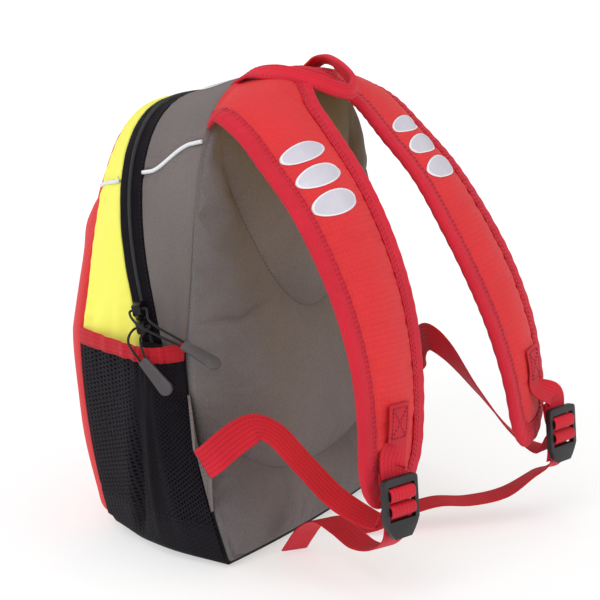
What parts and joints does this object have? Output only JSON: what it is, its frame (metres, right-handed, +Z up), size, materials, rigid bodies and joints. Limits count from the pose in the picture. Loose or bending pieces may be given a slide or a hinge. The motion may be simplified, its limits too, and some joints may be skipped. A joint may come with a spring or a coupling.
{
  "type": "kids backpack",
  "caption": "Small child's backpack with a zipped domed main compartment, mesh side pockets, padded curved shoulder straps, adjuster buckles and a webbing grab handle.",
  "frame": {"origin": "middle of the flat underside of the base, on the floor", "axes": "+Z up along the bag's height; the front panel faces -Y, the padded back and straps +Y; +X is the wearer's right-hand side"},
  "size_m": [0.271, 0.2996, 0.3171],
  "materials": {
    "grey_cloth": "plain woven polyester, matt warm grey",
    "grey_padding": "woven polyester over foam, matt, quilted lines",
    "yellow_cloth": "neon yellow woven polyester, matt",
    "red_cloth": "red ripstop polyester, matt",
    "red_webbing": "woven ribbed tape, slight sheen",
    "yellow_lining": "warm yellow spacer mesh",
    "black_cloth": "black woven polyester, matt",
    "pocket_mesh": "black knitted mesh",
    "zip_tape": "black zip tape with nylon coil",
    "reflective_piping": "white reflective piping",
    "black_plastic": "moulded, satin",
    "grey_plastic": "soft moulded, satin",
    "slider_metal": "black lacquered die-cast",
    "black_cord": "braided cord"
  },
  "bodies": {
    "root": {"rear_gusset_right": "grey_cloth", "rear_gusset_left": "grey_cloth", "rear_gusset_top": "grey_cloth", "front_gusset_right": "yellow_cloth", "front_gusset_left": "yellow_cloth", "front_gusset_top": "yellow_cloth", "piping_rear_right": "reflective_piping", "piping_rear_left": "reflective_piping", "piping_front_right": "reflective_piping", "piping_front_left": "reflective_piping", "zip_tape_rear": "zip_tape", "zip_tape_front": "zip_tape", "zip_coil": "zip_tape", "front_panel": "red_cloth", "back_panel": "grey_padding", "base": "black_cloth", "side_panel_right": "black_cloth", "side_panel_left": "black_cloth", "pocket_right": "pocket_mesh", "pocket_left": "pocket_mesh", "pocket_binding_right": "red_webbing", "pocket_binding_left": "red_webbing", "strap_right": "red_cloth", "strap_left": "red_cloth", "strap_lining_right": "yellow_lining", "strap_lining_left": "yellow_lining", "strap_binding_right": "red_webbing", "strap_binding_left": "red_webbing", "buckle_right": "black_plastic", "buckle_left": "black_plastic", "buckle_tab_right": "red_webbing", "buckle_tab_left": "red_webbing", "lower_web_right": "red_webbing", "lower_web_left": "red_webbing", "web_anchor_right": "grey_cloth", "web_anchor_left": "grey_cloth", "handle": "red_webbing", "zip_slider_lower": "slider_metal", "zip_slider_upper": "slider_metal", "pull_tab_lower": "grey_plastic", "pull_tab_upper": "grey_plastic", "pull_cord_lower": "black_cord", "pull_cord_upper": "black_cord"}
  },
  "joints": []
}
